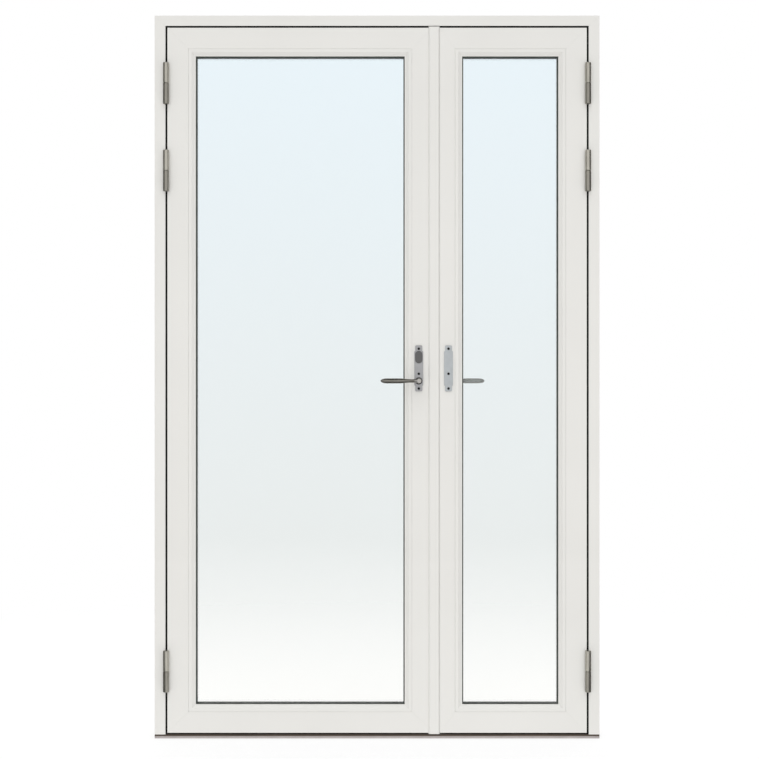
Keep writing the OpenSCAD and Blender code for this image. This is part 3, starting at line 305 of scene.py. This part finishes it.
def black_oxide():
    """Blackened steel of the screws, rubbed a little on its high spots."""
    made, tree, shader = new_material("black_screw_steel")
    rubbed = noise(tree, scale=800.0, detail=3.0)
    shader.inputs["Metallic"].default_value = 0.6
    wire(tree, shader,
         Base_Color=varied(tree, rubbed, SCREW_BLACK, least=1.0, most=2.2, start=0.5, end=0.8),
         Roughness=spread(tree, noise(tree, scale=1200.0), low=0.35, high=0.55),
         Normal=bump(tree, noise(tree, scale=2600.0), depth=0.01 * MM))
    return made


def rubber(name, colour):
    """Black rubber, dull, with dust that greys it here and there."""
    made, tree, shader = new_material(name)
    dust = noise(tree, scale=30.0, detail=5.0)
    shader.inputs["Specular IOR Level"].default_value = 0.15
    wire(tree, shader,
         Base_Color=varied(tree, dust, colour, least=1.0, most=1.6),
         Roughness=spread(tree, dust, low=0.60, high=0.80),
         Normal=bump(tree, noise(tree, scale=1800.0), depth=0.02 * MM))
    return made


def moulded(name, colour, rough):
    """Matt moulded surface with a fine spark grain."""
    made, tree, shader = new_material(name)
    grain = noise(tree, scale=1600.0, detail=3.0)
    wire(tree, shader,
         Base_Color=varied(tree, grain, colour, least=0.90, most=1.10),
         Roughness=spread(tree, grain, low=rough - 0.07, high=rough + 0.07),
         Normal=bump(tree, grain, depth=0.02 * MM))
    return made


def float_glass():
    """Clear float glass, tinted with a painted reflection of pale blue sky that grows towards the top."""
    made, tree, shader = new_material("float_glass")
    low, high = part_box("active_panes")
    height = add(tree, "ShaderNodeSeparateXYZ", {"Vector": own_place(tree)}).outputs["Z"]
    share = carried(tree, height, low.z, high.z, 0.0, 1.0)
    shader.inputs["Transmission Weight"].default_value = 1.0
    shader.inputs["Roughness"].default_value = 0.0
    shader.inputs["IOR"].default_value = 1.5
    wire(tree, shader,
         # The tint by height is a painted sky reflection
         Base_Color=blend(tree, share, GLASS_REFLECTION_STOPS),
         Normal=bump(tree, noise(tree, scale=3.0), depth=0.02 * MM))
    return made


# What each node is made of, and how far its edges are eased

EDGE_TIMBER = 1.2 * MM
EDGE_METAL = 0.35 * MM
EDGE_FINE = 0.15 * MM
EDGE_TOOTH = 0.08 * MM
PANES = ("active_panes", "passive_panes")
LEVER_PLATES = {
    "active_outside_lever": "active_outside_plate",
    "active_inside_lever": "active_inside_plate",
    "passive_inside_lever": "passive_inside_plate",
}
zinc = zinc_plate()
FINISH = [
    (powder_coat("white_powder_coat"), EDGE_FINE,
     ["head_cladding", "jamb_cladding", "meeting_strip",
      "active_stile_cladding", "active_rail_cladding", "active_glazing_beads",
      "passive_stile_cladding", "passive_rail_cladding", "passive_glazing_beads"]),
    (painted_timber("white_paint_upright", "Z"), EDGE_TIMBER,
     ["frame_jamb_left", "frame_jamb_right", "active_hinge_stile", "active_lock_stile",
      "passive_hinge_stile", "passive_meeting_stile"]),
    (painted_timber("white_paint_across", "X"), EDGE_TIMBER,
     ["frame_head", "active_top_rail", "active_bottom_rail", "passive_top_rail", "passive_bottom_rail"]),
    (oiled_hardwood(), EDGE_METAL, ["threshold_board"]),
    (brushed_metal("mill_aluminium", MILL_METAL, "X", (0.34, 0.5)), EDGE_METAL, ["threshold_base"]),
    (brushed_metal("leaf_hinge_nickel", NICKEL, "Z"), EDGE_METAL,
     ["active_hinge_halves", "passive_hinge_halves"]),
    # The frame halves of the hinges are painted darker than the leaf halves, as shade
    (brushed_metal("frame_hinge_nickel_shaded", NICKEL_SHADED, "Z"), EDGE_METAL, ["hinge_frame_halves"]),
    # The lever plates are painted darker as the shadow of their levers, the blank plate lighter as painted
    # light
    (brushed_metal("plate_steel", PLATE_STEEL_SHADED, "Z"), EDGE_METAL, list(LEVER_PLATES.values())),
    (brushed_metal("blank_plate_steel", BLANK_STEEL_LIT, "Z"), EDGE_METAL, ["passive_outside_plate"]),
    *((turned_lever(lever, plate), EDGE_METAL, [lever]) for lever, plate in LEVER_PLATES.items()),
    (zinc, EDGE_METAL,
     ["bolt_strikes", "hinge_pins", "active_lock_case", "active_edge_plate", "passive_gearbox",
      "passive_keep_plate", "active_spindle", "active_bolts", "passive_spindle", "passive_upper_rod",
      "passive_lower_rod"]),
    (zinc, EDGE_TOOTH, ["active_follower", "active_drive_rail", "passive_follower"]),
    (black_oxide(), EDGE_FINE, ["active_plate_screws", "passive_plate_screws"]),
    (rubber("seal_rubber", SEAL_BLACK), EDGE_FINE, ["frame_seal", "meeting_seal"]),
    (rubber("gasket_rubber", GASKET_BLACK), EDGE_FINE, ["active_gaskets", "passive_gaskets"]),
    (moulded("spacer_plastic", SPACER_GREY, 0.55), EDGE_FINE,
     ["active_spacer", "passive_spacer", "active_setting_blocks", "passive_setting_blocks"]),
    (moulded("plug_grey", PLUG_GREY, 0.42), EDGE_METAL, ["active_cylinder_plugs"]),
    (float_glass(), EDGE_FINE, list(PANES)),
]

# Edges sharper than this are eased, and faces flatter than this are joined
SHARP = math.radians(18)
FLAT = math.radians(0.5)
WELD = 0.001 * MM
EASE_STEPS = 2
# Nodes whose flat faces run round the whole opening and so stay in triangles
SLENDER = ("frame_seal",)


def ease_edges(piece, width, join_flat):
    """Joins the faces of a node and rounds its sharp edges a little, as modifiers only."""
    weld = piece.modifiers.new("weld", "WELD")
    weld.merge_threshold = WELD
    if join_flat:
        flat = piece.modifiers.new("flat", "DECIMATE")
        flat.decimate_type = "DISSOLVE"
        flat.angle_limit = FLAT
    bevel = piece.modifiers.new("bevel", "BEVEL")
    bevel.width = width
    bevel.segments = EASE_STEPS
    bevel.limit_method = "ANGLE"
    bevel.angle_limit = SHARP
    bevel.use_clamp_overlap = True
    normals = piece.modifiers.new("normals", "WEIGHTED_NORMAL")
    normals.keep_sharp = False


def finish_nodes():
    for material, edge, names in FINISH:
        for name in names:
            piece = nodes[name]
            piece.data.materials.clear()
            piece.data.materials.append(material)
            ease_edges(piece, edge, name not in SLENDER)
    for name in PANES:
        nodes[name].visible_shadow = False


# Screw heads of the lock plates and the strike plates

SCREW_R = 3.4 * MM
SCREW_EDGE = 0.25 * MM
SCREW_RISE = 0.12 * MM
SCREW_DEPTH = 1.3 * MM
SCREW_SIDES = 32
CROSS_REACH = 1.9 * MM
CROSS_HALF = 0.45 * MM
CROSS_DEPTH = 0.8 * MM
# Places of the screws: shares of the lock plates' height, and a distance from the strikes' ends
PLATE_SHARES = (0.012, 0.27, 0.73, 0.988)
STRIKE_END = 7 * MM


def loop_of(made, points):
    """Vertices at the points, joined to a closed loop of edges."""
    corners = [made.verts.new(p) for p in points]
    return corners, [made.edges.new((a, b)) for a, b in zip(corners, corners[1:] + corners[:1])]


def ring(radius, height):
    turns = [math.tau * i / SCREW_SIDES for i in range(SCREW_SIDES)]
    return [(radius * math.cos(t), radius * math.sin(t), height) for t in turns]


def cross(reach, half, height):
    """Outline of a cross with four arms, anticlockwise."""
    quarter = [(reach, -half), (reach, half), (half, half)]
    turns = [Matrix.Rotation(math.radians(90 * i), 2) for i in range(4)]
    return [(*(turn @ Vector(p)), height) for turn in turns for p in quarter]


def walls(made, low, high):
    for i in range(len(low)):
        made.faces.new((low[i - 1], low[i], high[i], high[i - 1]))


def screw_mesh():
    """Countersunk head with a cross recess, its rim at height 0 and its face upwards."""
    made = bmesh.new()
    foot, _ = loop_of(made, ring(SCREW_R - SCREW_DEPTH, -SCREW_DEPTH))
    rim, _ = loop_of(made, ring(SCREW_R, 0))
    face, face_edges = loop_of(made, ring(SCREW_R - SCREW_EDGE, SCREW_RISE))
    mouth, mouth_edges = loop_of(made, cross(CROSS_REACH, CROSS_HALF, SCREW_RISE))
    floor, _ = loop_of(made, cross(CROSS_REACH - CROSS_HALF, CROSS_HALF / 2, SCREW_RISE - CROSS_DEPTH))
    walls(made, foot, rim)
    walls(made, rim, face)
    walls(made, mouth, floor)
    bmesh.ops.triangle_fill(made, edges=face_edges + mouth_edges, use_beauty=True)
    made.faces.new(reversed(foot))
    made.faces.new(floor)
    bmesh.ops.recalc_face_normals(made, faces=made.faces)
    mesh = bpy.data.meshes.new("plate_screw")
    made.to_mesh(mesh)
    made.free()
    mesh.materials.append(zinc)
    return mesh


def lock_plate_places(node, body, way):
    """Screw places up the face of a lock plate that looks along X, forwards or backwards."""
    low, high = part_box(node)
    face = high.x if way > 0 else low.x
    heights = [low.z + share * (high.z - low.z) for share in PLATE_SHARES]
    return [(node, body, Vector((face, (low.y + high.y) / 2, z)), Vector((way, 0, 0))) for z in heights]


def strike_places():
    """Screw places at the ends of the two strike plates, whose faces look at each other."""
    low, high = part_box("bolt_strikes")
    heights = [v.co.z for v in nodes["bolt_strikes"].data.vertices]
    half_way = (low.z + high.z) / 2
    upper = min(z for z in heights if z > half_way)
    lower = max(z for z in heights if z < half_way)
    return [("bolt_strikes", "frame", Vector((x, (low.y + high.y) / 2, z)), Vector((0, 0, way)))
            for x in (low.x + STRIKE_END, high.x - STRIKE_END)
            for z, way in ((upper, -1), (lower, 1))]


def plate_screws():
    """Screws in the faces of the edge plate, the keep plate and the strike plates."""
    mesh = screw_mesh()
    places = (lock_plate_places("active_edge_plate", "active_leaf", 1)
              + lock_plate_places("passive_keep_plate", "passive_leaf", -1)
              + strike_places())
    for i, (node, body, at, way) in enumerate(places):
        piece = bpy.data.objects.new(f"{node}_screw_{i + 1}", mesh)
        scene.collection.objects.link(piece)
        piece.matrix_world = Matrix.Translation(at) @ way.to_track_quat("Z", "Y").to_matrix().to_4x4()
        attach(piece, body)


# Stage, light and camera

# Strength of the soft light at eye level and from the top, and its share from the far left and right
WORLD_LEVEL = 0.99
WORLD_TOP = 2.16
WORLD_SIDES = 0.08
# How far sideways a direction points where that weakening starts and ends
SIDES_START = 0.15
SIDES_END = 0.85

FLOOR_REACH = 20
FLOOR_DROP = 0.5 * MM
# Share of the floor that takes the shadow near the doors, and how far out it fades
SHADOW_SHARE = 0.18
SHADOW_NEAR = 1.0
SHADOW_FAR = 3.0

# Lamps: what they point at, their size and power, and where they stand
LAMP_AIM = (0, 0, 1.04)
LAMP_W = 1.6
LAMP_H = 3.0
LAMP_POWER = 20.0
LAMP_X = 1.6
LAMP_Y = 8.0
LAMP_Z = 1.7
LAMPS = {
    "key_left": (-LAMP_X, -LAMP_Y, LAMP_Z),
    "key_right": (LAMP_X, -LAMP_Y, LAMP_Z),
    "back": (0.0, LAMP_Y, LAMP_Z),
}

# Upright flags beside the doors, and flat ones at their feet
SIDE_GREY = 0.03
SIDE_X = 1.6
SIDE_FRONT = -0.9
SIDE_DEPTH = (0, 1.9, 0)
SIDE_HEIGHT = (0, 0, 3.2)
FOOT_W = 0.94
FOOT_Z = 0.02
# Flat flags above the doors and low in front of them
LEVEL_GREY = 0.06
LEVEL_X = 2.4
LEVEL_WIDTH = (2 * LEVEL_X, 0, 0)
TOP_FRONT = -2.2
TOP_DEPTH = 3.2
TOP_Z = 2.9
LOW_FRONT = -0.95
LOW_DEPTH = 0.85
LOW_Z = 0.5
# Each flag has a corner, the two sides from there, and a grey
FLAGS = {
    "left_flag": ((-SIDE_X, SIDE_FRONT, 0), SIDE_DEPTH, SIDE_HEIGHT, SIDE_GREY),
    "right_flag": ((SIDE_X, SIDE_FRONT, 0), SIDE_DEPTH, SIDE_HEIGHT, SIDE_GREY),
    "left_foot": ((-SIDE_X, SIDE_FRONT, FOOT_Z), (FOOT_W, 0, 0), SIDE_DEPTH, SIDE_GREY),
    "right_foot": ((SIDE_X - FOOT_W, SIDE_FRONT, FOOT_Z), (FOOT_W, 0, 0), SIDE_DEPTH, SIDE_GREY),
    "top_flag": ((-LEVEL_X, TOP_FRONT, TOP_Z), LEVEL_WIDTH, (0, TOP_DEPTH, 0), LEVEL_GREY),
    "low_flag": ((-LEVEL_X, LOW_FRONT, LOW_Z), LEVEL_WIDTH, (0, LOW_DEPTH, 0), LEVEL_GREY),
}


def hide_from(thing, *kinds):
    """Makes an object unseen by some kinds of ray."""
    for kind in kinds:
        setattr(thing, f"visible_{kind}", False)


def seen_rays(tree):
    """1 for the rays by which the background is seen, straight, mirrored or through glass."""
    rays = add(tree, "ShaderNodeLightPath").outputs
    mirrored = math_node(tree, "MAXIMUM", rays["Is Camera Ray"], rays["Is Glossy Ray"])
    return math_node(tree, "MAXIMUM", mirrored, rays["Is Transmission Ray"])


def studio_world():
    """Soft light, stronger from the top and weaker from the sides, in front of a white background."""
    world = bpy.data.worlds.new("studio")
    world.use_nodes = True
    tree = world.node_tree
    tree.nodes.clear()
    towards = add(tree, "ShaderNodeTexCoord").outputs["Generated"]
    way = add(tree, "ShaderNodeSeparateXYZ", {"Vector": towards}).outputs
    aside = math_node(tree, "ABSOLUTE", way["X"])
    share = carried(tree, aside, SIDES_START, SIDES_END, 1.0, WORLD_SIDES)
    height = carried(tree, way["Z"], 0.0, 1.0, WORLD_LEVEL, WORLD_TOP)
    strength = math_node(tree, "MULTIPLY", share, height)
    soft = add(tree, "ShaderNodeBackground", {"Color": PLAIN_WHITE, "Strength": strength})
    white = add(tree, "ShaderNodeBackground", {"Color": PLAIN_WHITE, "Strength": 1.0})
    mix = add(tree, "ShaderNodeMixShader", {0: seen_rays(tree), 1: soft.outputs[0], 2: white.outputs[0]})
    add(tree, "ShaderNodeOutputWorld", {"Surface": mix.outputs[0]})
    scene.world = world


def card(name, corner, along, up, material):
    """A flat card with one corner and its two sides given."""
    a, u, v = Vector(corner), Vector(along), Vector(up)
    mesh = bpy.data.meshes.new(name)
    mesh.from_pydata([a, a + u, a + u + v, a + v], [], [(0, 1, 2, 3)])
    mesh.materials.append(material)
    made = bpy.data.objects.new(name, mesh)
    scene.collection.objects.link(made)
    return made


def pale_floor():
    """White floor that keeps a soft shadow near the doors and turns into the background further out."""
    made, tree = bare_material("pale_floor")
    place = add(tree, "ShaderNodeNewGeometry").outputs["Position"]
    away = add(tree, "ShaderNodeVectorMath", {0: place}, operation="LENGTH").outputs["Value"]
    near = carried(tree, away, SHADOW_NEAR, SHADOW_FAR, SHADOW_SHARE, 0.0)
    rest = math_node(tree, "SUBTRACT", 1.0, near)
    # For the rays that light the doors, the floor glows FLOOR_BOUNCE as painted bounce light
    lit = add(tree, "ShaderNodeEmission", {"Color": FLOOR_BOUNCE, "Strength": 1.0})
    faint = add(tree, "ShaderNodeBsdfDiffuse", {"Color": near})
    glow = add(tree, "ShaderNodeEmission", {"Color": PLAIN_WHITE, "Strength": rest})
    white = add(tree, "ShaderNodeAddShader", {0: faint.outputs[0], 1: glow.outputs[0]})
    mix = add(tree, "ShaderNodeMixShader", {0: seen_rays(tree), 1: lit.outputs[0], 2: white.outputs[0]})
    add(tree, "ShaderNodeOutputMaterial", {"Surface": mix.outputs[0]})
    side = 2 * FLOOR_REACH
    card("floor", (-FLOOR_REACH, -FLOOR_REACH, -FLOOR_DROP), (side, 0, 0), (0, side, 0), made)


def dark_flag(name, corner, along, up, grey):
    """A grey card that only brushed metal mirrors, so that it shows its form; glass sees it as white."""
    made, tree = bare_material(name)
    clear = add(tree, "ShaderNodeLightPath").outputs["Is Singular Ray"]
    strength = math_node(tree, "MAXIMUM", clear, grey)
    dim = add(tree, "ShaderNodeEmission", {"Color": PLAIN_WHITE, "Strength": strength})
    add(tree, "ShaderNodeOutputMaterial", {"Surface": dim.outputs[0]})
    flag = card(name, corner, along, up, made)
    hide_from(flag, "camera", "diffuse", "transmission", "shadow", "volume_scatter")


def area_light(name, place):
    lamp = bpy.data.lights.new(name, "AREA")
    lamp.shape = "RECTANGLE"
    lamp.size = LAMP_W
    lamp.size_y = LAMP_H
    lamp.energy = LAMP_POWER
    light = bpy.data.objects.new(name, lamp)
    scene.collection.objects.link(light)
    light.location = place
    light.rotation_euler = (Vector(LAMP_AIM) - Vector(place)).to_track_quat("-Z", "Y").to_euler()
    hide_from(light, "camera", "transmission", "glossy")


def photo_camera():
    lens = bpy.data.cameras.new("camera")
    lens.sensor_width = SENSOR_W
    lens.lens = SENSOR_W * VIEW_DISTANCE / PICTURE_W
    camera = bpy.data.objects.new("camera", lens)
    scene.collection.objects.link(camera)
    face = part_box("jamb_cladding")[0].y
    camera.location = (AIM_X, face - VIEW_DISTANCE, AIM_Z)
    camera.rotation_euler = (math.radians(90), 0, 0)
    scene.camera = camera


finish_nodes()
plate_screws()
studio_world()
pale_floor()
for name, place in LAMPS.items():
    area_light(name, place)
for name, sides in FLAGS.items():
    dark_flag(name, *sides)
photo_camera()
scene.view_settings.view_transform = "Standard"
